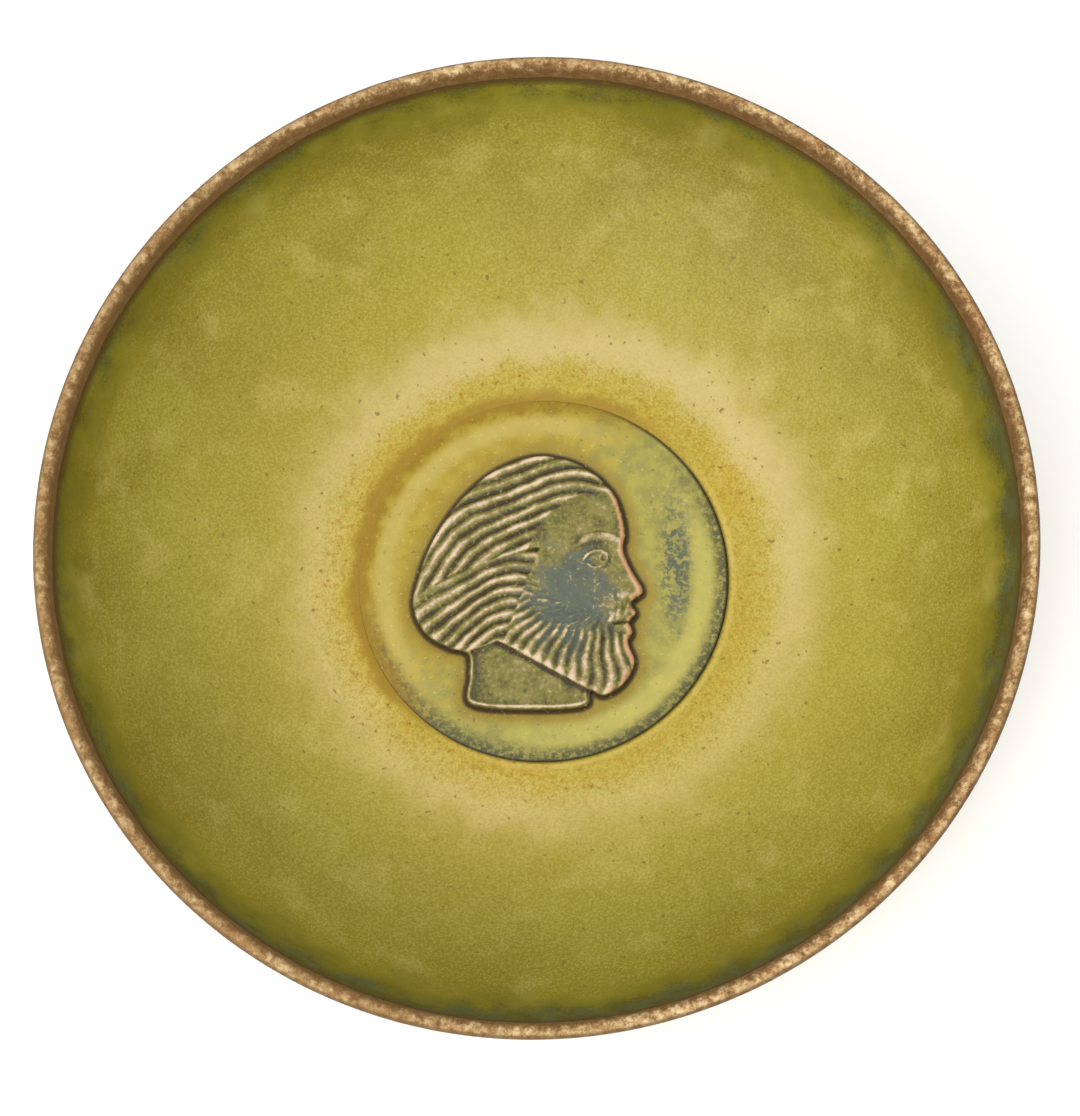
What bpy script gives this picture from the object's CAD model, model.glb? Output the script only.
# Stoneware bowl with a relief medallion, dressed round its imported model. Metres, +Z up.
import math
import bpy
import numpy as np
from mathutils import Matrix, Vector


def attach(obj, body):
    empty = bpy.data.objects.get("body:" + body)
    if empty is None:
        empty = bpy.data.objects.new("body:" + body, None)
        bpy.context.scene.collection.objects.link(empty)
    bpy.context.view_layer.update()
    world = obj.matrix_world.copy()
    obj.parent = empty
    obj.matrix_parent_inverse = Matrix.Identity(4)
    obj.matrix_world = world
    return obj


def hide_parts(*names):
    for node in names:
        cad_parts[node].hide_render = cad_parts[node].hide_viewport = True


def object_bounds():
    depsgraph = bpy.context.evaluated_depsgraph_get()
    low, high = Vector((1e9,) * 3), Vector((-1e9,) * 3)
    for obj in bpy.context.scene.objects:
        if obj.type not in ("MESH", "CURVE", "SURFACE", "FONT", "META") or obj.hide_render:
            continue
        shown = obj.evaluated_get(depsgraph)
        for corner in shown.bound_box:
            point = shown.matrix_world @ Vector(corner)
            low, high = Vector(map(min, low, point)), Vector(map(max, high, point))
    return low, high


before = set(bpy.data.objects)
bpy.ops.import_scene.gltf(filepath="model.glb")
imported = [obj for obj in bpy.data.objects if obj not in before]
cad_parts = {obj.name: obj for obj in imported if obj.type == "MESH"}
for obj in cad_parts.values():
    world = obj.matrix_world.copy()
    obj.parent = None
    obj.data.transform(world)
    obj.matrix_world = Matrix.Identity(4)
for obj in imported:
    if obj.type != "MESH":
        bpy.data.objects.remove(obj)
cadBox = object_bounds()
print("stage: frame loaded,", len(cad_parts), "nodes")

mm = 0.001
turns = 480  # points round the bowl
around = np.arange(turns) * 2 * math.pi / turns
everyTurn = np.ones(turns)
creaseAngle = math.radians(48)  # edges sharper than this aren't shaded smooth
sharpSide = math.radians(-40)  # where the medallion's edge is narrow and deep

bowl = {  # millimetres
    "rimRadius": round(cadBox[1][0] / mm, 3),  # outside of the lip
    "height": round(cadBox[1][2] / mm, 3),
    "lip": 3.2,  # thickness of the round lip
    "lean": math.radians(15),  # of the wall at the lip, out from upright
    "bareLip": 2.4,
    "floorLevel": 14.5,
    "floorThick": 7.5,
    "seat": 38.1,  # edge of the glaze round the medallion
    "seam": 0.004,  # half of the gap there
    "level": 3.0,  # flat floor outside the seat
    "floorSweep": 18.0,  # lower handle of the wall's curve
    "wallSweep": 23.0,  # its upper handle
    "glaze": 0.6,
    "glazeThin": 0.08,  # where a coat runs out
    "footRadius": 38.0,
    "footWidth": 7.0,
    "bareFoot": 5.0,  # bare clay outside the foot
}


def ease(x, low, high):  # 0 at low, 1 at high, smooth between
    t = np.clip((x - low) / (high - low), 0, 1)
    return t * t * (3 - 2 * t)


def bell(x, width):  # 1 at 0, dying away over about width
    return np.exp(-(x / width) ** 2)


def dome(q):  # height of a half circle at the share q of its radius
    return np.sqrt(np.clip(1 - q ** 2, 0, 1))


def sharpShare(angle):  # 1 at the medallion's sharp side, 0 opposite
    return 0.5 + 0.5 * np.cos(angle - sharpSide)


def waves(angle, seed, counts, size):  # a sum of cosines round the bowl, about +-size
    rng = np.random.default_rng(seed)
    total = sum(rng.uniform(0.5, 1) * np.cos(n * angle + rng.uniform(0, 6.28)) for n in counts)
    return size * total / math.sqrt(len(counts))


def meshFrom(name, points, faces, smooth=True):
    mesh = bpy.data.meshes.new(name)
    mesh.from_pydata(points.tolist(), [], faces)
    mesh.polygons.foreach_set("use_smooth", np.full(len(mesh.polygons), smooth))
    mesh.set_sharp_from_angle(angle=creaseAngle)
    mesh.update()
    piece = bpy.data.objects.new(name, mesh)
    bpy.context.scene.collection.objects.link(piece)
    return piece


def gridMesh(name, grid, ends=None):
    # rows of points round the piece, in millimetres. The last row joins the first one,
    # or the first and the last row each close on their own end point.
    rows, cols = grid.shape[:2]
    points = grid.reshape(-1, 3)
    row = np.arange(rows if ends is None else rows - 1)[:, None] * cols
    col = np.arange(cols)
    nextCol = (col + 1) % cols
    nextRow = (row + cols) % (rows * cols)
    quads = np.stack([row + col, row + nextCol, nextRow + nextCol, nextRow + col], -1)
    faces = quads.reshape(-1, 4).tolist()
    if ends is not None:
        top = (rows - 1) * cols
        end = np.full(cols, len(points))
        faces += np.stack([end, nextCol, col], -1).tolist()
        faces += np.stack([end + 1, top + col, top + nextCol], -1).tolist()
        points = np.vstack([points, ends])
    return meshFrom(name, points * mm, faces)


def turned(name, radius, height, poles=False):
    # x = radius cos a, y = radius sin a, z = height, with arrays of profile point by turn. The
    # profile runs up its outer side; it closes on itself, or on two poles in the axis.
    cols = radius.shape[1]
    a = np.arange(cols) * 2 * math.pi / cols
    grid = np.stack([radius * np.cos(a), radius * np.sin(a), height], -1)
    ends = [(0, 0, height[0].mean()), (0, 0, height[-1].mean())] if poles else None
    return gridMesh(name, grid, ends)


# The inside of the wall is one cubic curve, from the floor round the medallion to the glaze's end.
upLip = np.array([math.sin(bowl["lean"]), math.cos(bowl["lean"])])
intoBowl = np.array([-math.cos(bowl["lean"]), math.sin(bowl["lean"])])
lipCentre = np.array([bowl["rimRadius"], bowl["height"]]) - bowl["lip"] / 2
glazeEnd = lipCentre + intoBowl * bowl["lip"] / 2 - upLip * bowl["bareLip"]
floorStart = np.array([bowl["seat"] + bowl["level"], bowl["floorLevel"]])
floorHandle = floorStart + [bowl["floorSweep"], 0]
wallHandle = glazeEnd - upLip * bowl["wallSweep"]
curve = np.stack([floorStart, floorHandle, wallHandle, glazeEnd])


def wall(t, depth=0.0, shift=0.0):
    # the cubic curve's point at t, sunk by depth square to the curve and moved by shift along it
    t = np.asarray(t, float)[..., None]
    s = 1 - t
    at = s ** 3 * curve[0] + 3 * s * s * t * curve[1] + 3 * s * t * t * curve[2] + t ** 3 * curve[3]
    go = s * s * (curve[1] - curve[0]) + 2 * s * t * (curve[2] - curve[1]) + t * t * (curve[3] - curve[2])
    go = go / np.linalg.norm(go, axis=-1, keepdims=True)
    down = np.stack([go[..., 1], -go[..., 0]], -1)
    at = at + down * np.asarray(depth)[..., None] + go * np.asarray(shift)[..., None]
    return at[..., 0], at[..., 1]


def thick(t):  # the wall thins evenly from the floor to the lip
    return bowl["floorThick"] + (bowl["lip"] - bowl["floorThick"]) * t


def coatThickness(fullShare):  # from the thin end of a coat to its full thickness
    return bowl["glazeThin"] + (bowl["glaze"] - bowl["glazeThin"]) * fullShare


# Hand-made edges: of the inner glaze, the lip and the outer glaze.
glazeWander = waves(around, 3, [3, 5, 8, 13, 21, 34, 47, 61], 0.22)
lipWander = waves(around, 5, [2, 3, 5, 9, 17, 29, 43, 67, 91], 0.045)
footWander = waves(around, 11, [2, 4, 7, 12, 19, 31], 0.5)
print("stage: curves ready")

innerGlaze = {  # millimetres; the shares are of the way from floor to lip
    "ringDepth": 0.035,  # rings left by the thrower's fingers
    "ringTurns": 70,  # radians of ring from floor to lip
    "ringSway": (0.8, 0.3),  # the rings wander once and three times round
    "swell": 0.05,  # three slow lobes that twist up the wall
    "swellTwist": 5,
    "calm": 0.9,  # share past which the rings and lobes die out
    "thinFrom": 0.93,  # share past which the coat thins out
    "softGroove": (0.76, 1.9),  # depth and width of the groove round the medallion, soft side
    "sharpGroove": (0.28, 0.3),  # and sharp side
    "bead": (0.12, 1.1, 0.9),  # height, place and width of the roll beside the sharp groove
    "edgeDepth": 1.2,  # of the coat at the medallion
    "join": 0.15,  # left between the flat floor and the curve
}


def innerGlazeShell():
    # the wall's curve, sunk by rings sin(n t + sway) and lobes sin(3 a + k t), its underside one coat
    # deeper, and a flat floor with bell-shaped grooves and a bead round the medallion
    look = innerGlaze
    t = np.concatenate([np.linspace(0, 0.8, 90), np.linspace(0.81, 1, 40)])[:, None]
    reach = ease(t, look["calm"], 1.0)
    sway = look["ringSway"][0] * np.sin(around) + look["ringSway"][1] * np.cos(3 * around)
    rings = look["ringDepth"] * np.sin(t * look["ringTurns"] + sway) * ease(t, 0.02, 0.15)
    swell = look["swell"] * np.sin(3 * around + t * look["swellTwist"]) * ease(t, 0.1, 0.3)
    coat = coatThickness(1 - ease(t, look["thinFrom"], 1.0))
    topR, topZ = wall(t * everyTurn, (rings + swell) * (1 - reach), glazeWander * reach)
    lowR, lowZ = wall(t * everyTurn, coat, glazeWander * reach)

    side = sharpShare(around)
    firstRadius = bowl["seat"] + bowl["seam"]
    radii = np.linspace(firstRadius, floorStart[0] - look["join"], 22)[:, None] * everyTurn
    off = radii - bowl["seat"]
    softDepth, softWidth = look["softGroove"]
    sharpDepth, sharpWidth = look["sharpGroove"]
    beadHeight, beadPlace, beadWidth = look["bead"]
    floorZ = bowl["floorLevel"] - softDepth * bell(off, softWidth) * (1 - side)
    floorZ = floorZ - sharpDepth * bell(off, sharpWidth) * side
    floorZ = floorZ + beadHeight * side * bell(off - beadPlace, beadWidth)
    edgeLow = np.full((1, turns), bowl["floorLevel"] - look["edgeDepth"])
    r = np.vstack([radii[:1], lowR[::3], lowR[-1:], topR[::-1], radii[::-1]])
    z = np.vstack([edgeLow, lowZ[::3], lowZ[-1:], topZ[::-1], floorZ[::-1]])
    return turned("glaze_inside", r, z)


outerGlaze = {  # millimetres; the shares are of the way from floor to lip
    "sink": 0.12,  # of the coat's surface below the wall's full thickness
    "ringDepth": 0.08,
    "ringTurns": 95,
    "ringSway": 0.5,
    "edgeShare": 0.06,  # over which the wandering lower edge dies out
    "buildShare": 0.02,  # over which the coat comes up to its thickness
    "calm": 0.93,  # share past which the rings die out
    "thinFrom": 0.95,
}


def outerGlazeShell():
    # the wall's curve sunk by its thickness, with rings sin(n t + a + sway), and one coat less inside
    look = outerGlaze
    share = np.linspace(0, 1, 400)
    start = np.interp(bowl["footRadius"] + bowl["bareFoot"], wall(share, thick(share))[0], share)
    t = start + (1 - start) * np.linspace(0, 1, 150)[:, None]
    near = 1 - ease(t, start, start + look["edgeShare"])
    reach = ease(t, look["calm"], 1.0)
    sway = around + look["ringSway"] * np.sin(2 * around)
    rings = look["ringDepth"] * np.sin(t * look["ringTurns"] + sway) * (1 - near) * (1 - reach)
    shift = footWander * near + glazeWander[::-1] * reach
    coat = coatThickness(ease(t, start, start + look["buildShare"]) * (1 - ease(t, look["thinFrom"], 1.0)))
    depth = thick(t) - look["sink"]
    outR, outZ = wall(t * everyTurn, depth + rings, shift)
    inR, inZ = wall(t * everyTurn, depth - coat, shift)
    return turned("glaze_outside", np.vstack([outR, inR[::-3]]), np.vstack([outZ, inZ[::-3]]))


clay = {  # millimetres
    "poleRing": 3.0,  # radius of the ring next to each pole
    "track": (0.04, 2.6),  # height of the tracks underneath, and radians per millimetre
    "trackLift": 0.05,  # of the underside above the wall's full thickness
    "outSkin": 0.5,  # clay's outside below the wall's full thickness
    "lipSkin": 0.14,  # and beside the bare lip
    "inSkin": 0.54,  # extra depth of the clay under the inner glaze
    "inLipSkin": 0.1,  # its depth beside the lip
    "lipInset": 0.06,  # of the lip inside its full radius
    "nicks": (0.05, 0.6),  # depth and size of the waves across the lip
    "seatDepth": 3.5,  # recess that the medallion lies in
    "seatStep": 1.22,  # its edge, just under the glaze's
    "seatMiddle": 20.0,  # a ring half way across the recess
}


def clayBody():
    # underside with sine tracks, the wall's curve sunk by its thickness, a half circle for the lip,
    # the curve again just under the inner glaze, and the recess for the medallion
    t = np.linspace(0, 1, 60)[:, None]
    under = np.linspace(clay["poleRing"], floorStart[0], 12)[:, None] * everyTurn
    track, perMillimetre = clay["track"]
    underLevel = bowl["floorLevel"] - bowl["floorThick"] + clay["trackLift"]
    underZ = underLevel + track * np.sin(under * perMillimetre)
    nearLip = ease(t, 0.95, 1.0)
    skin = clay["outSkin"] * ease(t, 0, 0.03) * (1 - nearLip) + clay["lipSkin"] * nearLip
    outR, outZ = wall(t * everyTurn, thick(t) - skin)

    turn = np.linspace(-bowl["lean"], math.pi - bowl["lean"], 22)[:, None]
    depth, size = clay["nicks"]
    nicks = lipWander + depth * np.sin(2 * turn) * waves(around, 8, [37, 53, 71, 89], size)
    lipRadius = bowl["lip"] / 2 - clay["lipInset"] + nicks * np.sin(turn + bowl["lean"])
    lipR = lipCentre[0] + lipRadius * np.cos(turn)
    lipZ = lipCentre[1] + lipRadius * np.sin(turn)

    sink = clay["inLipSkin"] + clay["inSkin"] * (1 - ease(t, 0.93, 1.0))
    inR, inZ = wall(t[::-1] * everyTurn, sink[::-1])
    seatR = np.array([bowl["seat"], bowl["seat"], clay["seatMiddle"], clay["poleRing"]])
    seatDrop = np.array([clay["seatStep"], clay["seatDepth"], clay["seatDepth"], clay["seatDepth"]])
    seatZ = (bowl["floorLevel"] - seatDrop)[:, None] * everyTurn
    r = np.vstack([under, outR[1:], lipR, inR, seatR[:, None] * everyTurn])
    z = np.vstack([underZ, outZ[1:], lipZ, inZ, seatZ])
    return turned("clay_body", r, z, poles=True)


foot = {  # millimetres
    "bevel": 1.1,  # of the two lower edges
    "taper": 1.2,  # how far each side leans in
    "tracks": (0.05, 0.03),  # their height outside and inside
    "trackTurns": 30,  # radians of track from the bevel to the top
    "inset": 0.06,  # of the outer side
    "topGap": 0.02,
}


def footPiece():
    # inner bevel, outer bevel, outer side and inner side; the sides are straight lines plus
    # sin(n h + a), the bevels quarter circles
    outer = bowl["footRadius"]
    inner = outer - bowl["footWidth"]
    tall = bowl["floorLevel"] - bowl["floorThick"]
    bevel = foot["bevel"]
    corner = np.linspace(0, math.pi / 2, 8)[:, None] * everyTurn
    up = np.linspace(bevel, tall - foot["topGap"], 14)[:, None] * everyTurn
    tracks = np.sin(np.linspace(0, 1, 14)[:, None] * foot["trackTurns"] + around)
    lean = foot["taper"] * (1 - up / tall)
    outR = outer - lean + foot["tracks"][0] * tracks - foot["inset"]
    inR = inner + lean - foot["tracks"][1] * tracks
    bevelIn = inner + foot["taper"] + bevel - bevel * np.cos(corner)
    bevelOut = outer - foot["taper"] - bevel + bevel * np.sin(corner)
    r = np.vstack([bevelIn, bevelOut, outR, inR[::-1]])
    z = np.vstack([bevel - bevel * np.sin(corner), bevel - bevel * np.cos(corner), up, up[::-1]])
    return turned("foot", r, z)


# The medallion's head is a height over the plane of the disc. Millimetres, x right and y up.
head = {
    "top": bowl["floorLevel"] - 0.4,  # ground of the disc
    "outline": [  # clockwise from the hairline
        (14.2, 18.6), (16.3, 14.0), (17.1, 9.2), (16.6, 6.2), (18.4, 1.6), (20.6, -3.0), (18.3, -5.2),
        (19.2, -7.4), (18.0, -9.3), (18.5, -11.4), (17.6, -13.4), (18.9, -17.6), (16.4, -22.4),
        (12.2, -24.6), (9.6, -23.6), (9.4, -26.2), (-3.0, -27.4), (-15.6, -25.6), (-15.4, -20.0),
        (-15.8, -15.6), (-19.4, -14.4), (-24.2, -11.4), (-26.9, -5.8), (-25.6, 1.6), (-22.2, 9.6),
        (-17.0, 17.2), (-10.0, 23.2), (-1.4, 26.2), (7.6, 24.2)],
    "middle": (0.0, -3.0),  # where the rings of the mesh meet
    "rings": 120,
    "steps": 600,  # points round the outline
    "heights": (0.3, 2.2),  # lowest and highest
    "edge": 0.5,  # height where the head meets the ground
    "round": 1.0,  # width of its rounded edge
    "sunk": 0.5,  # the side goes this far below the ground
    "bead": (0.75, 0.42),  # place and width of the fine roll along the outline
    "faceMiddle": (12.4, 2.4),
    "faceDome": (6, -1, 24),  # centre and radius of the broad dome
    "faceRise": (0.95, 0.5, 0.24),  # level of the face, and what the dome and the bead add
    "hairline": 15.6,  # radius round the face's middle
    "parting": [(1.2, 7.0), (-4, 6.0), (-12, 3.6), (-20, 0.4), (-27.5, -4.5)],
    "jaw": ((12.5, -25.0), (-8.9, -13.0)),
    "nape": ((-8.4, -12.4), (-16.5, -15.4)),
    "sideburn": ((-8.5, -13.5), (-2.0, 3.4)),
    "upperLocks": ((7.5, -18.5), 0.95, 0.18, 2.4, 1.0),  # centre, level, unevenness, its rate and start
    "lowerLocks": ((-3.0, -27.5), 0.86, 0.16, 1.9, 0.0),
    "besideFace": (0.12, 19, 15.8),  # rise of the upper locks there, and where it comes in
    "underParting": (0.18, 1.6),  # fall of the lower locks there, and its reach
    "neck": (0.72, 0.5, 0.25),  # its level, its bead and the hollow under the jaw
    "lockPitch": 2.5,
    "lockHeight": 0.68,
    "hairHeight": 0.06,
    "beardPitch": 2.1,
    "beardFan": (9.0, 4.0),  # centre of the fan
    "beardRadius": 19.0,  # where its strokes are a pitch apart
    "beardDrift": (0.06, 0.14, 0.7),  # lean of the strokes, and size and rate of their sway
    "beardRise": (1.1, 0.2, 0.46, 0.26),  # its level, and what dome, strokes and stipple add
    "strokesFrom": (13.0, 16.5),  # distance over which strokes take over from stipple
    "beardBelow": (3.5, 1.0),  # y over which it comes in
    "beardEdge": (0.5, 9, 1.2),  # size and rate of its sway, and its width
    "cheek": (10.4, 6.2, 12.4),  # centre and radius of the bare cheek
    "mouthClear": (18.5, -9.9, 5.0, 2.1),  # centre, half width and half height left without beard
    "moustache": (  # as a stroke below
        2.6, 0.35, 0.34, [(18.9, -6.9), (16.2, -7.4), (13.2, -9.0), (11.2, -12.2), (11.0, -15.0)]),
    "humps": [  # centre, half width, half height, and how far it stands up
        (8.5, -2.2, 4.6, 3.6, 0.22),  # cheekbone
        (11.3, 4.2, 3.4, 2.3, -0.42),  # hollow of the eye
        (16.6, -3.6, 1.25, 1.15, 0.34),  # wing of the nose
        (17.9, -4.4, 0.6, 0.35, -0.25)],  # nostril
    "strokes": [  # width, taper at the ends, how far it stands up, and its points
        (1.8, 0.3, 0.38, [(6.6, 6.6), (9.6, 8.6), (13.4, 8.7), (16.6, 7.4)]),  # brow
        (0.8, 0.2, 0.40, [(8.0, 3.6), (9.6, 5.3), (11.8, 5.8), (13.9, 4.6)]),  # upper lid
        (0.65, 0.25, 0.32, [(8.6, 3.4), (10.6, 2.3), (13.2, 2.9)]),  # lower lid
        (0.6, 0.3, -0.16, [(15.2, -2.2), (14.8, -3.8), (15.8, -5.2)]),  # fold by the nose
        (1.6, 0.3, 0.22, [(18.4, -10.4), (16.0, -10.6), (14.2, -10.2)]),  # lower lip
        (0.55, 0.2, -0.35, [(18.8, -9.2), (16.2, -9.3), (13.6, -9.7)])],  # mouth
    "eyeball": (11.5, 4.1, 2.0, 1.55, 0.42),  # centre, half width, half height, height
    "iris": (12.5, 4.2, 0.8, 0.95, 0.20),
}


def smoothLoop(points, perSpan):  # centripetal Catmull-Rom through a closed list of points
    p = np.array(points, float)
    a, b, c, d = np.roll(p, 1, 0), p, np.roll(p, -1, 0), np.roll(p, -2, 0)
    gap = lambda m, n: np.sqrt(np.hypot(*(n - m).T))[:, None]
    t1 = gap(a, b)
    t2 = t1 + gap(b, c)
    t3 = t2 + gap(c, d)
    out = []
    for k in np.arange(perSpan) / perSpan:
        t = t1 + (t2 - t1) * k
        u1 = (t1 - t) / t1 * a + t / t1 * b
        u2 = (t2 - t) / (t2 - t1) * b + (t - t1) / (t2 - t1) * c
        u3 = (t3 - t) / (t3 - t2) * c + (t - t2) / (t3 - t2) * d
        v1 = (t2 - t) / t2 * u1 + t / t2 * u2
        v2 = (t3 - t) / (t3 - t1) * u2 + (t - t1) / (t3 - t1) * u3
        out.append((t2 - t) / (t2 - t1) * v1 + (t - t1) / (t2 - t1) * v2)
    return np.stack(out, 1).reshape(-1, 2)


def smoothLine(points):  # uniform Catmull-Rom through an open list of points, 8 steps a span
    p = np.array(points, float)
    p = np.vstack([2 * p[0] - p[1], p, 2 * p[-1] - p[-2]])
    a, b, c, d = p[:-3], p[1:-2], p[2:-1], p[3:]
    t = (np.arange(8) / 8)[:, None, None]
    q = 2 * b + (c - a) * t + (2 * a - 5 * b + 4 * c - d) * t ** 2 + (3 * b - a - 3 * c + d) * t ** 3
    q = 0.5 * q
    return np.vstack([q.transpose(1, 0, 2).reshape(-1, 2), p[-2]])


def toLine(x, y, line):  # distance to a polyline, and the share of its length at the nearest place
    best = np.full(x.shape, 1e9)
    along = np.zeros(x.shape)
    for i in range(len(line) - 1):
        (x1, y1), (dx, dy) = line[i], line[i + 1] - line[i]
        t = np.clip(((x - x1) * dx + (y - y1) * dy) / (dx * dx + dy * dy + 1e-12), 0, 1)
        far = np.hypot(x - x1 - t * dx, y - y1 - t * dy)
        along = np.where(far < best, (i + t) / (len(line) - 1), along)
        best = np.minimum(best, far)
    return best, along


def stroke(x, y, points, width, taper):  # a round-backed raised line, thinner at both ends
    far, along = toLine(x, y, smoothLine(points))
    narrow = np.sqrt(ease(along, -0.02, taper) * ease(1 - along, -0.02, taper)) + 1e-6
    return dome(far / (width / 2 * narrow)) * narrow


def leftOf(x, y, a, b):  # distance to the left of the line from a to b
    dx, dy = b[0] - a[0], b[1] - a[1]
    return (dx * (y - a[1]) - dy * (x - a[0])) / math.hypot(dx, dy)


def ridges(v, sharp):  # round ridges one unit apart, narrower as sharp grows
    return np.abs(np.cos(math.pi * v)) ** sharp


def fromPoint(x, y, point):
    return np.hypot(x - point[0], y - point[1])


def locks(x, y, bend, centre, level, uneven, rate, start):
    # ridges a pitch apart on circles round the centre, bent off them by bend, each with a height of
    # its own, and fine hairs
    v = (fromPoint(x, y, centre) + bend) / head["lockPitch"]
    swell = 1 - uneven + uneven * np.sin(np.floor(v + 0.5) * rate + start)
    return level + head["lockHeight"] * ridges(v, 1.5) * swell + head["hairHeight"] * ridges(3 * v, 1)


def faceSkin(x, y, broad, bead):  # a broad dome plus bell-shaped humps, strokes and the eye
    level, domeRise, beadRise = head["faceRise"]
    skin = level + domeRise * broad + beadRise * bead
    for cx, cy, wide, tall, lift in head["humps"]:
        skin = skin + lift * bell(x - cx, wide) * bell(y - cy, tall)
    for width, taper, lift, points in head["strokes"]:
        skin = skin + lift * stroke(x, y, points, width, taper)
    cx, cy, wide, tall, lift = head["eyeball"]
    skin = skin + lift * dome(np.hypot((x - cx) / wide, (y - cy) / tall))
    cx, cy, wide, tall, lift = head["iris"]
    iris = np.hypot((x - cx) / wide, (y - cy) / tall)
    return skin + lift * bell(iris - 1.0, 0.3) - lift * bell(iris, 0.55)


def beardOver(skin, x, y, broad, face):
    # ridges that fan out by angle from the cheek, and a stipple of two crossed ridges near it
    fanX, fanY = head["beardFan"]
    w = np.arctan2(y - fanY, x - fanX)
    far = fromPoint(x, y, head["beardFan"])
    sway, rate, soft = head["beardEdge"]
    ragged = head["cheek"][2] + sway * np.sin(rate * w)
    beard = face * ease(fromPoint(x, y, head["cheek"]), ragged, ragged + soft)
    beard = beard * ease(y, *head["beardBelow"])
    cx, cy, wide, tall = head["mouthClear"]
    beard = beard * ease(np.hypot((x - cx) / wide, (y - cy) / tall), 0.85, 1.1)
    drift, sway, rate = head["beardDrift"]
    b = w * head["beardRadius"] / head["beardPitch"] + drift * far + sway * np.sin(rate * far)
    outward = ease(far, *head["strokesFrom"])
    stipple = ridges(b * 0.8 + far * 0.45, 1) * ridges(far / 1.7 + b * 0.4, 1)
    level, domeRise, strokeRise, stippleRise = head["beardRise"]
    beardTop = level + domeRise * broad + strokeRise * ridges(b, 1.3) * outward
    beardTop = beardTop + stippleRise * stipple * (1 - outward)
    hairs = 0.8 + 0.2 * ridges((x * 0.5 + y) * 0.9, 1)
    width, taper, lift, points = head["moustache"]
    moustache = stroke(x, y, points, width, taper) * hairs * (1 - 0.2 * beard)
    return skin * (1 - beard) + beardTop * beard + lift * moustache


def headHeight(x, y, d):
    # Height of the relief at (x, y), d in from the outline: locks on circles round two far points,
    # the face, the beard over it and the neck, each in its own zone, rounded down to the edge.
    faceFar = fromPoint(x, y, head["faceMiddle"])
    parting = smoothLine(head["parting"])[::-1]
    under = np.interp(x, parting[:, 0], parting[:, 1]) - y
    jaw = leftOf(x, y, *head["jaw"])
    neck = ease(jaw, -0.2, 0.35) * ease(leftOf(x, y, *head["nape"]), -0.2, 0.3)
    lower = ease(leftOf(x, y, *head["sideburn"]), -0.4, 0.4) * ease(under, -0.2, 0.35) * (1 - neck)
    upper = ease(faceFar, head["hairline"], head["hairline"] + 0.5) * ease(under, 0.2, -0.2)
    upper = upper * (1 - lower) * (1 - neck)
    face = (1 - upper) * (1 - lower) * (1 - neck)

    wander = 0.3 * np.sin(0.3 * x - 0.15 * y) + 0.07 * np.sin(0.9 * x + 0.7 * y + 2)
    bend = wander + 0.5 * np.sin(x * 0.21 + y * 0.13 + 0.6)
    rise, start, full = head["besideFace"]
    upperTop = locks(x, y, bend, *head["upperLocks"]) + rise * ease(faceFar, start, full)
    bend = wander + 0.45 * np.sin(x * 0.33 + 1.2)
    fall, reach = head["underParting"]
    lowerTop = locks(x, y, bend, *head["lowerLocks"]) - fall * ease(under, reach, 0)

    broad = dome(fromPoint(x, y, head["faceDome"]) / head["faceDome"][2])
    bead = bell(d - head["bead"][0], head["bead"][1])
    faceTop = beardOver(faceSkin(x, y, broad, bead), x, y, broad, face)
    level, beadRise, hollow = head["neck"]
    neckTop = level + beadRise * bead * ease(x, 9.5, 8.0) - hollow * bell(jaw, 1.0)
    top = upper * upperTop + lower * lowerTop + face * faceTop + neck * neckTop
    rounded = dome(1 - np.clip(d / head["round"], 0, 1))
    return np.clip(head["edge"] + (top - head["edge"]) * rounded, *head["heights"])


medallionRadius = bowl["seat"] - bowl["seam"]
outline = smoothLoop(head["outline"], 10)
outlineLoop = np.vstack([outline, outline[:1]])

crestGrid = {  # millimetres
    "half": 40,  # half of the square that the map covers
    "step": 0.2,
    "blur": 0.9,  # how far round a point its surroundings are taken
    "ground": 0.85,  # height given to the ground
}


def blurred(z, step, width):  # Gaussian blur by adding shifted copies
    reach = int(2.5 * width / step)
    weights = np.exp(-0.5 * (np.arange(-reach, reach + 1) * step / width) ** 2)
    weights = weights / weights.sum()
    for axis in (0, 1):
        z = sum(k * np.roll(z, i - reach, axis) for i, k in enumerate(weights))
    return z


def crestMaps():
    # on a flat grid: how far the surface stands above its surroundings, for the glaze to break on,
    # and how far in from the outline a point lies, negative outside
    half, step = crestGrid["half"], crestGrid["step"]
    side = np.arange(-half, half, step)
    x, y = np.meshgrid(side, side)
    d, _ = toLine(x, y, outlineLoop)
    inside = np.zeros(x.shape, bool)
    for (x1, y1), (x2, y2) in zip(outlineLoop[:-1], outlineLoop[1:]):
        if y1 != y2:
            inside ^= ((y1 > y) != (y2 > y)) & (x < (x2 - x1) * (y - y1) / (y2 - y1) + x1)
    z = np.where(inside, headHeight(x, y, d), crestGrid["ground"])
    return {"crest": z - blurred(z, step, crestGrid["blur"]), "depth": np.where(inside, d, -d)}


def sampled(grid, x, y):  # bilinear look-up in a map made by crestMaps
    u = (x + crestGrid["half"]) / crestGrid["step"]
    v = (y + crestGrid["half"]) / crestGrid["step"]
    i, j = u.astype(int), v.astype(int)
    fu, fv = u - i, v - j
    low = grid[j, i] * (1 - fu) + grid[j, i + 1] * fu
    high = grid[j + 1, i] * (1 - fu) + grid[j + 1, i + 1] * fu
    return low * (1 - fv) + high * fv


def addMaps(piece, maps):  # each map becomes an attribute of the same name
    flat = np.empty(len(piece.data.vertices) * 3)
    piece.data.vertices.foreach_get("co", flat)
    x, y, _ = flat.reshape(-1, 3).T / mm
    for name, grid in maps.items():
        layer = piece.data.attributes.new(name, "FLOAT", "POINT")
        layer.data.foreach_set("value", sampled(grid, x, y).astype(np.float32))
    return piece


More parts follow.
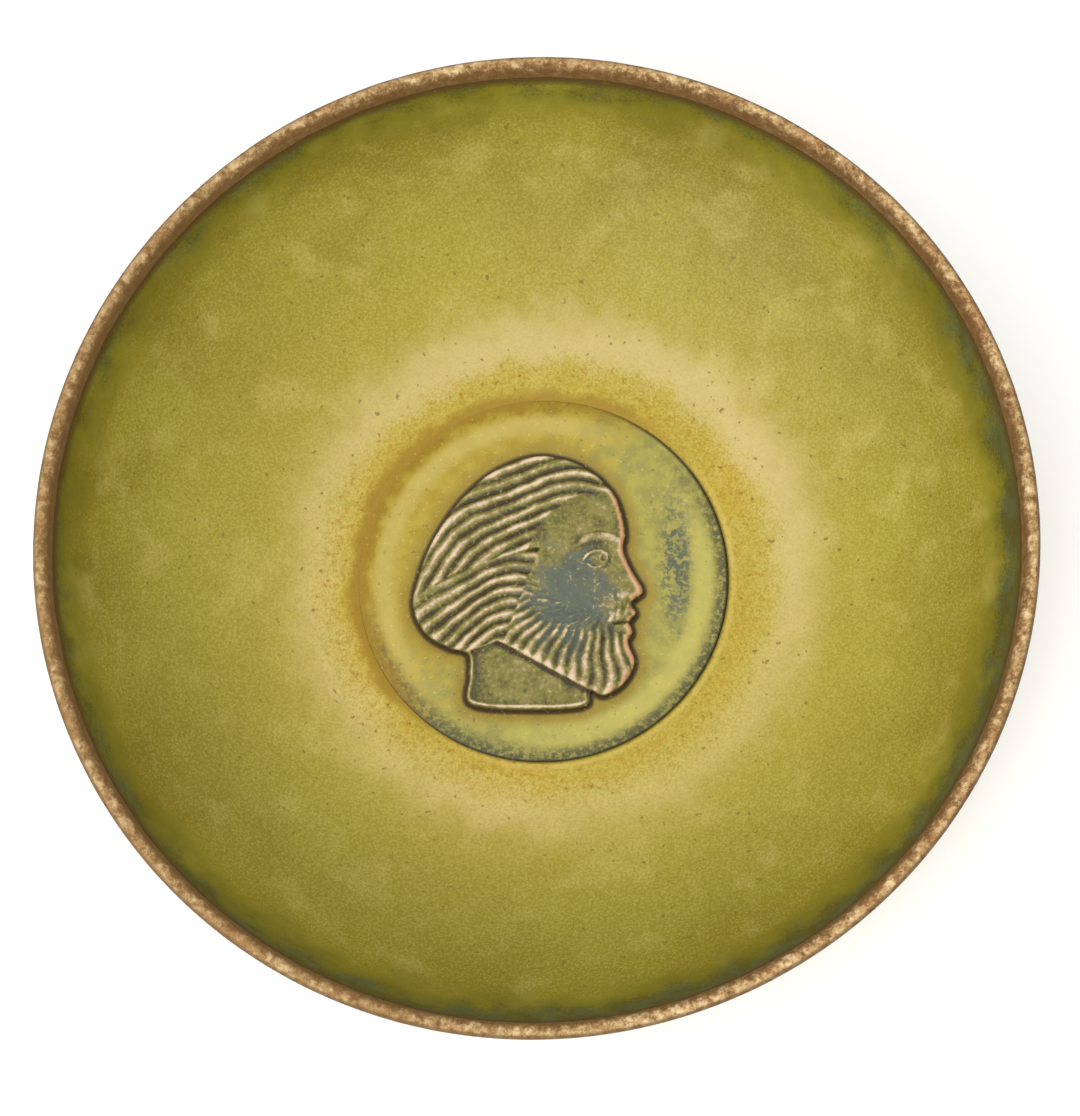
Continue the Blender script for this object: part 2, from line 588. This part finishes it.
def headPiece(maps):
    # rings shrink from the outline to the middle; the first drops into the moat
    lengths = np.concatenate([[0], np.cumsum(np.hypot(*np.diff(outlineLoop, axis=0).T))])
    even = np.arange(head["steps"]) / head["steps"] * lengths[-1]
    edge = np.stack([np.interp(even, lengths, outlineLoop[:, k]) for k in (0, 1)], -1)[::-1]
    middle = np.array(head["middle"])
    share = (1 - (1 - np.linspace(0, 1, head["rings"])) ** 1.15)[1:][::-1, None, None]
    flat = middle + (edge - middle) * share
    flat = np.vstack([flat[:1], flat])
    x, y = flat[..., 0], flat[..., 1]
    z = headHeight(x, y, toLine(x, y, outlineLoop)[0])
    z[0] = -head["sunk"]
    wellInside = np.array([9.0])
    peak = headHeight(middle[:1], middle[1:], wellInside)[0]
    grid = np.stack([x, y, z + head["top"]], -1)
    ends = [(*middle, head["top"] - head["sunk"]), (*middle, head["top"] + peak)]
    return addMaps(gridMesh("head_relief", grid, ends), maps)


disc = {  # millimetres
    "rings": 120,
    "steps": 420,  # points round it
    "thick": 3.0,
    "chamfer": 1.0,  # round its lower edge
    "moat": (0.38, 1.3),  # depth and width of the hollow round the head
    "underHead": 0.9,  # how far the disc sinks under the head
    "tilt": 0.22,  # fall to the sharp side
    "swell": 0.3,  # broad ring on the soft side
    "lip": (0.16, 0.9, 0.45),  # height, place and width of the sharp side's raised edge
    "sharpDrop": (0.4, 0.28),  # depth and width of the fall at the edge, sharp side
    "softDrop": (0.36, 2.2),  # and soft side
}


def groundHeight(x, y, d):
    # the disc round the head, d out from its outline: a plane that falls to the sharp side, less a
    # bell-shaped moat and the worn edge, plus a lip at that side and a ring at the soft side
    r = np.hypot(x, y)
    rim = medallionRadius - r
    side = sharpShare(np.arctan2(y, x))
    moat = disc["moat"][0] * bell(d, disc["moat"][1])
    tilt = disc["tilt"] * side * ease(r, 12, 36)
    lip = disc["lip"][0] * bell(rim - disc["lip"][1], disc["lip"][2]) * side
    drop = disc["sharpDrop"][0] * bell(rim, disc["sharpDrop"][1]) * side
    drop = drop + disc["softDrop"][0] * bell(rim, disc["softDrop"][1]) * (1 - side)
    ring = disc["swell"] * (1 - side) * ease(r, 20, 34) * (1 - ease(r, 35, 37.8))
    return -moat - tilt + lip - drop + ring


def discPiece(maps):
    # rings from the edge to the centre, at r = R s ** 0.8, on a chamfered base
    a = np.arange(disc["steps"]) * 2 * math.pi / disc["steps"]
    share = np.linspace(1, 0, disc["rings"] + 1)[:-1, None]
    r = medallionRadius * share ** 0.8 * np.ones(disc["steps"])
    x, y = r * np.cos(a), r * np.sin(a)
    d = sampled(maps["depth"], x, y)
    z = groundHeight(x, y, np.abs(d)) - disc["underHead"] * ease(d, 0.4, 1.2) + head["top"]
    base = np.full((1, disc["steps"]), head["top"] - disc["thick"])
    profileR = np.vstack([r[:1] - disc["chamfer"], r[:1], r])
    profileZ = np.vstack([base, base + disc["chamfer"], z])
    return addMaps(turned("medallion", profileR, profileZ, poles=True), maps)


def linear(r, g, b):  # 0 to 255 as the eye sees it, to the shader's linear colour
    c = np.array([r, g, b]) / 255
    c = np.where(c <= 0.04045, c / 12.92, ((c + 0.055) / 1.055) ** 2.4)
    return (*c.tolist(), 1.0)


class Finish:  # adds nodes to one material and joins them; lengths are in millimetres
    def __init__(self, name, roughness, coat=0.0, coatRoughness=0.3, gloss=0.25):
        self.material = bpy.data.materials.new(name)
        self.material.use_nodes = True
        self.nodes = self.material.node_tree.nodes
        self.links = self.material.node_tree.links
        self.shader = self.nodes["Principled BSDF"]
        self.colour = None  # the surface colour so far
        self.shader.inputs["Roughness"].default_value = roughness
        self.shader.inputs["Coat Weight"].default_value = coat
        self.shader.inputs["Coat Roughness"].default_value = coatRoughness
        self.shader.inputs["Specular IOR Level"].default_value = gloss
        self.place = self.nodes.new("ShaderNodeTexCoord").outputs["Object"]
        self.across = self.vector("MULTIPLY", self.place, (1 / mm, 1 / mm, 0))  # height left out

    def add(self, kind, settings, inputs):
        node = self.nodes.new(kind)
        for key, value in settings.items():
            setattr(node, key, value)
        for key, value in inputs.items():
            if isinstance(value, bpy.types.NodeSocket):
                self.links.new(value, node.inputs[key])
            else:
                node.inputs[key].default_value = value
        return node

    def vector(self, operation, first, second=(0, 0, 0)):
        node = self.add("ShaderNodeVectorMath", {"operation": operation}, {0: first, 1: second})
        return node.outputs["Value" if operation in ("LENGTH", "DOT_PRODUCT") else "Vector"]

    def math(self, operation, first, second):
        return self.add("ShaderNodeMath", {"operation": operation}, {0: first, 1: second}).outputs[0]

    def times(self, first, *others):
        for other in others:
            first = self.math("MULTIPLY", first, other)
        return first

    def farFrom(self, centre=(0, 0), squeeze=(1, 1)):  # distance from a point, with x and y squeezed
        offset = self.vector("SUBTRACT", self.across, (*centre, 0))
        return self.vector("LENGTH", self.vector("MULTIPLY", offset, (*squeeze, 0)))

    def toward(self, degrees):  # 1 in that direction, -1 opposite
        aim = math.radians(degrees)
        heading = self.vector("NORMALIZE", self.across)
        return self.vector("DOT_PRODUCT", heading, (math.cos(aim), math.sin(aim), 0))

    def noise(self, scale, detail, rough):  # scale in bumps per millimetre
        inputs = {"Vector": self.place, "Scale": scale / mm, "Detail": detail, "Roughness": rough}
        return self.add("ShaderNodeTexNoise", {}, inputs).outputs["Fac"]

    def noises(self, settings):
        return [self.noise(*each) for each in settings]

    def attribute(self, name):
        return self.add("ShaderNodeAttribute", {"attribute_name": name}, {}).outputs["Fac"]

    def step(self, value, low, high, first=0.0, last=1.0):  # first at low, last at high, smooth between
        settings = {"interpolation_type": "SMOOTHSTEP"}
        inputs = {"Value": value, "From Min": low, "From Max": high, "To Min": first, "To Max": last}
        return self.add("ShaderNodeMapRange", settings, inputs).outputs[0]

    def ragged(self, value, noise, spread, low=0.3, high=0.7):  # value moved up and down by noise
        return self.math("ADD", value, self.step(noise, low, high, -spread, spread))

    def mix(self, share, first, second):
        return self.add("ShaderNodeMix", {"data_type": "RGBA"}, {0: share, 6: first, 7: second}).outputs[2]

    def tones(self, share, pair):
        return self.mix(share, *[linear(*tone) for tone in pair])

    def lay(self, layer, value, *masks):
        # over the colour so far: a layer is its colour, how much of it shows at most, and the values
        # from which to which it comes in; the masks, from 0 to 1, keep it to its place
        colour, amount, start, full = layer
        share = self.times(self.step(value, start, full), *masks, amount)
        self.colour = self.mix(share, self.colour, linear(*colour))

    def ramp(self, value, stops):  # stops: (place, colour)
        node = self.add("ShaderNodeValToRGB", {}, {0: value})
        marks = node.color_ramp.elements
        while len(marks) < len(stops):
            marks.new(0.5)
        for mark, (at, colour) in zip(marks, stops):
            mark.position = at
            mark.color = linear(*colour)
        return node.outputs[0]

    def finish(self, bump=None, bumpHeight=0.06):
        self.links.new(self.colour, self.shader.inputs["Base Color"])
        if bump is not None:
            inputs = {"Height": bump, "Strength": 0.6, "Distance": bumpHeight * mm}
            normal = self.add("ShaderNodeBump", {}, inputs).outputs[0]
            self.links.new(normal, self.shader.inputs["Normal"])
        return self.material


glazeSheen = {"roughness": 0.5, "coat": 0.08, "coatRoughness": 0.4}
ironNoise = (0.75, 2, 0.4)  # of the sparse spots, as noise takes it

innerLook = {  # radii in millimetres, directions in degrees from the right
    "noises": ((0.035, 3, 0.5), (0.16, 4, 0.6), (1.9, 4, 0.7)),  # broad, medium and fine
    "wander": (2.4, 1.2),  # millimetres that medium and fine move the gradient
    "ringCentre": (1.6, 0.6),  # of the pale ring
    "ringTo": (60, 85),  # radii over which the colours centre on the bowl
    "stops": [  # share of the rim's radius, and the colour there
        (0.36, (168, 142, 36)), (0.415, (170, 144, 42)), (0.455, (177, 156, 76)), (0.50, (178, 157, 86)),
        (0.545, (160, 142, 58)), (0.60, (148, 133, 38)), (0.70, (140, 127, 28)), (0.80, (129, 117, 18)),
        (0.88, (121, 108, 14)), (0.93, (110, 98, 12))],
    "greenClouds": ((150, 142, 40), 0.35, 0.38, 0.62),  # a layer, as lay takes it
    "paleClouds": ((188, 172, 96), 0.22, 0.52, 0.7),
    "cloudNoise": (0.09, 3, 0.5),
    "lowerShade": ((100, 90, 6), 0.26, 0.0, 0.9),
    "shadeToward": -110,
    "shadeOver": (52, 78),  # radii over which it comes in
    "goldSpecks": ((156, 120, 14), 0.7, 0.47, 0.62),
    "goldNoise": (0.75, 4, 0.75),
    "goldWithin": (50, 44),
    "paleGrain": ((205, 190, 112), 0.16, -0.2, 1.0),
    "darkGrain": ((96, 84, 10), 0.2, 0.2, -1.0),
    "thinGreen": ((98, 93, 8), 0.7, -6.0, 0.0),
    "edgeTones": ((66, 62, 26), (68, 74, 48)),  # the dark line under the lip
    "edgeAmount": 0.92,
    "toneNoise": (0.2, 3, 0.5),
    "edgeNoise": (0.12, 3, 0.6),
    "edgeWander": (1.5, 1.9),
    "edgeToward": -60,
    "edgeStart": (96.2, 93.2),  # its radius away from that direction, and in it
    "lipBrown": ((74, 56, 24), 1.0, 95.3, 96.2),
    "paleRing": ((186, 167, 114), 0.48, 44.0, 48.5),
    "paleToward": 65,
    "paleWithin": (61.0, 48.5),
    "iron": ((104, 84, 20), 0.7, 0.69, 0.75),
    "softToward": 140,  # the soft side of the medallion's edge
    "groove": ((136, 106, 6), 0.85, 41.2, 38.6),
    "seatLine": ((84, 74, 32), 0.8, 38.6, 38.15),
    "seatPale": ((190, 170, 92), 0.35, 38.5, 39.0),
    "seatWithin": (40.0, 39.2),
    "roughness": (0.44, 0.58),
}


def innerFinish():
    look = innerLook
    f = Finish("olive_glaze_inside", **glazeSheen)
    broad, medium, fine = f.noises(look["noises"])
    radius = f.farFrom()
    # one gradient by radius, off centre near the medallion, made uneven by two noises
    outer = f.step(radius, *look["ringTo"])
    near = f.times(f.farFrom(look["ringCentre"]), f.math("SUBTRACT", 1.0, outer))
    wander = f.math("ADD", near, f.times(radius, outer))
    wander = f.ragged(wander, medium, look["wander"][0], 0.2, 0.8)
    wander = f.ragged(wander, fine, look["wander"][1], 0.2, 0.8)
    f.colour = f.ramp(f.times(wander, 1 / bowl["rimRadius"]), look["stops"])
    # greener and paler clouds, and a darker lower wall
    f.lay(look["greenClouds"], broad)
    f.lay(look["paleClouds"], f.noise(*look["cloudNoise"]))
    f.lay(look["lowerShade"], f.toward(look["shadeToward"]), f.step(radius, *look["shadeOver"]))
    # golden specks in the floor, pale and dark grain all over
    f.lay(look["goldSpecks"], f.noise(*look["goldNoise"]), f.step(radius, *look["goldWithin"]))
    grain = f.step(fine, 0.35, 0.65, -1.0, 1.0)
    f.lay(look["paleGrain"], grain)
    f.lay(look["darkGrain"], grain)
    # under the lip the glaze runs thin: green, then a dark line, wider at the lower right
    start = f.step(f.toward(look["edgeToward"]), -0.8, 0.9, *look["edgeStart"])
    edge = f.ragged(radius, f.noise(*look["edgeNoise"]), look["edgeWander"][0], 0.25, 0.75)
    edge = f.ragged(edge, fine, look["edgeWander"][1], 0.25, 0.75)
    past = f.math("SUBTRACT", edge, start)
    f.lay(look["thinGreen"], past)
    dark = f.tones(f.step(f.noise(*look["toneNoise"]), 0.42, 0.58), look["edgeTones"])
    f.colour = f.mix(f.step(past, -2.2, 1.8, 0.0, look["edgeAmount"]), f.colour, dark)
    f.lay(look["lipBrown"], radius)
    # the pale ring is palest at the upper right
    palest = f.step(f.toward(look["paleToward"]), -0.4, 0.8, 1 / 6, 1.0)
    f.lay(look["paleRing"], wander, f.step(wander, *look["paleWithin"]), palest)
    f.lay(look["iron"], f.noise(*ironNoise))
    # round the medallion: a gold groove at the upper left, two lines at the lower right
    side = f.toward(look["softToward"])
    f.lay(look["groove"], f.ragged(radius, medium, 0.8), f.step(side, -0.3, 0.3))
    f.lay(look["seatLine"], radius, f.step(side, 0.2, -0.3))
    f.lay(look["seatPale"], radius, f.step(radius, *look["seatWithin"]), f.step(side, 0.0, -0.5))
    f.links.new(f.step(medium, 0.3, 0.7, *look["roughness"]), f.shader.inputs["Roughness"])
    return f.finish(f.math("ADD", f.times(fine, 0.5), medium))


outerLook = {
    "noises": ((0.04, 3, 0.5), (0.2, 4, 0.6), (1.1, 3, 0.6)),  # broad, medium and fine
    "stops": [  # share of the rim's radius, and the colour there
        (0.43, (96, 74, 34)), (0.45, (150, 132, 50)), (0.6, (164, 148, 58)), (0.85, (146, 132, 40)),
        (0.95, (122, 110, 32)), (0.985, (94, 80, 34))],
    "clouds": ((126, 120, 38), 0.4, 0.4, 0.65),
    "grain": ((190, 174, 100), 0.1, 0.45, 0.75),
    "iron": ((96, 76, 20), 0.7, 0.68, 0.74),
}


def outerFinish():
    # the same glaze seen from outside: a gradient by radius, clouds, grain and iron spots
    look = outerLook
    f = Finish("olive_glaze_outside", **glazeSheen)
    broad, medium, fine = f.noises(look["noises"])
    radius = f.ragged(f.farFrom(), medium, 1.5)
    f.colour = f.ramp(f.times(radius, 1 / bowl["rimRadius"]), look["stops"])
    f.lay(look["clouds"], broad)
    f.lay(look["grain"], fine)
    f.lay(look["iron"], f.noise(*ironNoise))
    return f.finish(f.math("ADD", f.times(fine, 0.5), medium))


clayLook = {
    "roughness": 0.75,
    "noises": ((0.55, 4, 0.7), (0.12, 3, 0.6), (2.2, 3, 0.7)),  # blotches, streaks and pits
    "stops": [  # level of the blotches, and the colour there
        (0.32, (104, 72, 36)), (0.44, (148, 115, 70)), (0.54, (176, 146, 98)), (0.66, (208, 182, 138))],
    "rust": ((138, 94, 46), 0.5, 0.48, 0.64),
    "iron": ((86, 52, 22), 0.7, 0.6, 0.68),
    "ironNoise": (0.7, 3, 0.6),
    "grog": ((214, 188, 150), 0.45, 0.56, 0.72),
    "innerSlope": ((92, 62, 26), 0.85, 98.7, 96.9),
    "slopesOver": (60, 80),  # radii
    "outerSlope": ((70, 50, 32), 0.75, 99.0, 99.7),
    "toasted": ((112, 84, 44), 0.4, -0.4, 0.9),
    "toastedToward": 195,
    "bumpHeight": 0.18,
}


def clayFinish(name, lip):
    # pale grog blotches, iron-brown patches and fine pits; darker on the lip's slopes
    look = clayLook
    f = Finish(name, look["roughness"])
    blotch, streak, fine = f.noises(look["noises"])
    f.colour = f.ramp(blotch, look["stops"])
    f.lay(look["rust"], streak)
    f.lay(look["iron"], f.noise(*look["ironNoise"]))
    f.lay(look["grog"], fine)
    if lip:
        radius = f.farFrom()
        f.lay(look["innerSlope"], f.ragged(radius, blotch, 0.5), f.step(radius, *look["slopesOver"]))
        f.lay(look["outerSlope"], radius)
        f.lay(look["toasted"], f.toward(look["toastedToward"]))
    return f.finish(f.math("ADD", blotch, f.times(fine, 0.6)), look["bumpHeight"])


medallionLook = {  # what the head and its ground share
    "noises": ((0.3, 4, 0.6), (1.3, 3, 0.6), (0.9, 3, 0.65)),  # medium, fine and specks
    "sheen": {"roughness": 0.45, "coat": 0.1, "coatRoughness": 0.35},
    "specks": ((70, 66, 44), 0.5, 0.62, 0.72),
    "grain": ((226, 214, 160), 0.2, 0.6, 0.72),
}


def medallionEnd(f, medium, fine, speck):  # specks, grain and bump, alike on head and ground
    f.lay(medallionLook["specks"], speck)
    f.lay(medallionLook["grain"], fine)
    return f.finish(f.math("ADD", f.times(fine, 0.5), medium))


headLook = {
    "stops": [  # from the hollows of the head to its crests
        (0.06, (60, 44, 22)), (0.24, (74, 68, 36)), (0.50, (110, 104, 42)), (0.70, (126, 116, 62)),
        (0.87, (166, 146, 112)), (1.0, (202, 180, 152))],
    "liftNoise": (0.24, 4, 0.6),
    "crests": (-0.42, 0.34),  # lift, in millimetres, of the first and last stop
    "poolAt": ((5.5, -4.5), (1, 0.9)),  # centre, and how x and y are squeezed
    "pool": ((76, 84, 78), 0.8, 12, 5),
    "poolBelow": (0.14, 0.02),
    "profile": ((178, 128, 88), 0.8, 12, 16),
    "profileWithin": (1.5, 0.9),  # distance in from the outline
    "profileAbove": (-0.05, 0.06),
    "edge": ((66, 48, 22), 1.0, 0.3, 0.0),
}


def headFinish():
    look = headLook
    f = Finish("medallion_glaze_head", **medallionLook["sheen"])
    medium, fine, speck = f.noises(medallionLook["noises"])
    depth = f.attribute("depth")
    # pale on the crests and dark in the hollows
    lift = f.ragged(f.attribute("crest"), fine, 0.06)
    lift = f.math("ADD", lift, f.step(f.noise(*look["liftNoise"]), 0.3, 0.7, -0.15, 0.08))
    f.colour = f.ramp(f.step(lift, *look["crests"]), look["stops"])
    # grey-blue where the glaze pools on the cheek and among the beard
    cheek = f.ragged(f.farFrom(*look["poolAt"]), medium, 3)
    f.lay(look["pool"], cheek, f.step(lift, *look["poolBelow"]))
    # the ridge at the front breaks to orange-tan
    toFront = f.vector("DOT_PRODUCT", f.across, (1, 0, 0))
    ridge = f.times(f.step(depth, *look["profileWithin"]), f.step(lift, *look["profileAbove"]))
    f.lay(look["profile"], toFront, ridge)
    f.lay(look["edge"], depth)
    return medallionEnd(f, medium, fine, speck)


groundLook = {  # radii in millimetres, directions in degrees from the right
    "sharpToward": -35,
    "bottomToward": -115,
    "green": ((154, 145, 64), (134, 128, 60)),  # two tones toward the sharp side
    "gold": ((160, 140, 44), (150, 126, 26)),  # and away from it
    "fleckAt": ((27.5, 4), (2.1, 0.5)),  # centre, and how x and y are squeezed
    "fleck": ((72, 80, 68), 1.0, 11, 3),
    "pooled": ((66, 64, 40), 1.0, 33.0, 37.2),
    "moat": ((136, 114, 30), 0.75, -4.2, -1.4),
    "moatDark": ((66, 48, 18), 1.0, -1.1, -0.3),
    "rimLine": ((64, 58, 34), 0.8, 37.3, 37.75),
    "groove": ((136, 106, 6), 0.85, 34.8, 37.2),
    "softRing": ((176, 158, 84), 0.6, 29.5, 32.5),
    "softWithin": (35.6, 33.6),
    "sharpRing": ((184, 172, 86), 0.5, 29.5, 32.0),
    "sharpWithin": (36.4, 34.0),
}


def groundFinish():
    look = groundLook
    f = Finish("medallion_glaze_ground", **medallionLook["sheen"])
    medium, fine, speck = f.noises(medallionLook["noises"])
    depth = f.attribute("depth")
    radius = f.farFrom()
    toSharp = f.toward(look["sharpToward"])
    # green at the sharp side, gold at the soft side, with a grey-blue fleck at the right
    patches = f.step(medium, 0.35, 0.65)
    green = f.tones(patches, look["green"])
    gold = f.tones(patches, look["gold"])
    f.colour = f.mix(f.step(f.ragged(toSharp, medium, 0.25), -0.55, 0.1), gold, green)
    f.lay(look["fleck"], f.farFrom(*look["fleckAt"]), f.step(speck, 0.44, 0.56, 0.1, 0.9))
    # dark glaze pooled along the low edge, and in the moat round the head
    toBottom = f.toward(look["bottomToward"])
    lowSides = f.math("MAXIMUM", f.step(toSharp, 0.0, 0.7), f.step(toBottom, 0.45, 0.85))
    f.lay(look["pooled"], radius, lowSides, f.step(speck, 0.4, 0.56, 0.3, 0.9))
    f.lay(look["moat"], depth)
    f.lay(look["moatDark"], depth)
    # the edge: a dark line at the sharp side, gold at the soft side, and a pale ring inside each
    f.lay(look["rimLine"], radius, f.step(toSharp, -0.5, 0.0))
    f.lay(look["groove"], f.ragged(radius, medium, 0.8), f.step(toSharp, 0.1, -0.5))
    f.lay(look["softRing"], radius, f.step(radius, *look["softWithin"]), f.step(toSharp, 0.0, -0.5))
    f.lay(look["sharpRing"], radius, f.step(radius, *look["sharpWithin"]), f.step(toSharp, 0.2, 0.8))
    return medallionEnd(f, medium, fine, speck)


def finishPiece(piece, node, material):  # its material, and the solid that it stands for
    piece.data.materials.append(material)
    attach(piece, "root")
    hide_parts(node)


maps = crestMaps()
print("stage: relief worked out")
finishPiece(clayBody(), "bowl_body", clayFinish("bare_stoneware_lip", True))
finishPiece(innerGlazeShell(), "inner_glaze", innerFinish())
finishPiece(outerGlazeShell(), "outer_glaze", outerFinish())
finishPiece(footPiece(), "foot_ring", clayFinish("bare_stoneware_foot", False))
finishPiece(discPiece(maps), "medallion_disc", groundFinish())
finishPiece(headPiece(maps), "relief_head", headFinish())
print("stage: pieces made")

view = {
    "azimuth": math.radians(11.4),
    "elevation": math.radians(76.8),
    "distance": 1.0,  # metres, from the middle of the rim
    "lens": 163.0,  # millimetres
    "sensor": 36.0,
    "nearest": 0.05,  # metres, nothing closer shows
    "size": (1080, 1116),  # the photograph, pixels
    "rimMiddle": (534.1, 535.8),  # where the middle of the rim's circle shows
}


def makeCamera():
    camera = bpy.data.objects.new("camera", bpy.data.cameras.new("camera"))
    bpy.context.scene.collection.objects.link(camera)
    a, e = view["azimuth"], view["elevation"]
    back = Vector((math.sin(a) * math.cos(e), -math.cos(a) * math.cos(e), math.sin(e)))
    right = Vector((0, 1, 0)).cross(back).normalized()
    up = back.cross(right)
    wide, tall = view["size"]
    column, row = view["rimMiddle"]
    perPixel = view["distance"] * view["sensor"] / view["lens"] / tall
    aim = Vector((0, 0, bowl["height"] * mm))
    aim += right * (wide / 2 - column) * perPixel + up * (row - tall / 2) * perPixel
    facing = Matrix((right, up, back)).transposed().to_4x4()
    camera.matrix_world = Matrix.Translation(aim + back * view["distance"]) @ facing
    camera.data.lens = view["lens"]
    camera.data.sensor_width = view["sensor"]
    camera.data.clip_start = view["nearest"]
    bpy.context.scene.camera = camera


studio = {  # metres
    "floorHalf": 3,
    "floorTones": ((0.94, 0.94, 0.935, 1), (0.96, 0.96, 0.955, 1)),
    "floorNoise": (0.002, 1, 0.5),
    "sky": 1.2,  # strength of the white surroundings
    "aim": (0, 0, 0.02),  # where the lights point
    "lights": [  # name, place, width of the disc and watts
        ("key", (-0.68, -0.76, 1.0), 1.4, 12.0),
        ("top", (0.1, 0.1, 1.8), 1.2, 3.0)],
}


def makeLight(name, place, size, power):
    light = bpy.data.lights.new(name, "AREA")
    light.shape = "DISK"
    light.size = size
    light.energy = power
    lamp = bpy.data.objects.new(name, light)
    lamp.location = place
    lamp.rotation_euler = (Vector(studio["aim"]) - Vector(place)).to_track_quat("-Z", "Y").to_euler()
    bpy.context.scene.collection.objects.link(lamp)


def makeStage():
    corners = np.array([(-1, -1, 0), (1, -1, 0), (1, 1, 0), (-1, 1, 0)], float)
    floor = meshFrom("floor", corners * studio["floorHalf"], [(0, 1, 2, 3)], smooth=False)
    f = Finish("pale_floor", 0.8, gloss=0.1)
    f.colour = f.mix(f.noise(*studio["floorNoise"]), *studio["floorTones"])
    floor.data.materials.append(f.finish())
    world = bpy.data.worlds.new("studio")
    world.use_nodes = True
    sky = world.node_tree.nodes["Background"]
    sky.inputs["Color"].default_value = (1, 1, 1, 1)
    sky.inputs["Strength"].default_value = studio["sky"]
    bpy.context.scene.world = world
    for light in studio["lights"]:
        makeLight(*light)
    bpy.context.scene.view_settings.view_transform = "Standard"


makeCamera()
makeStage()
print("stage: camera and lights")
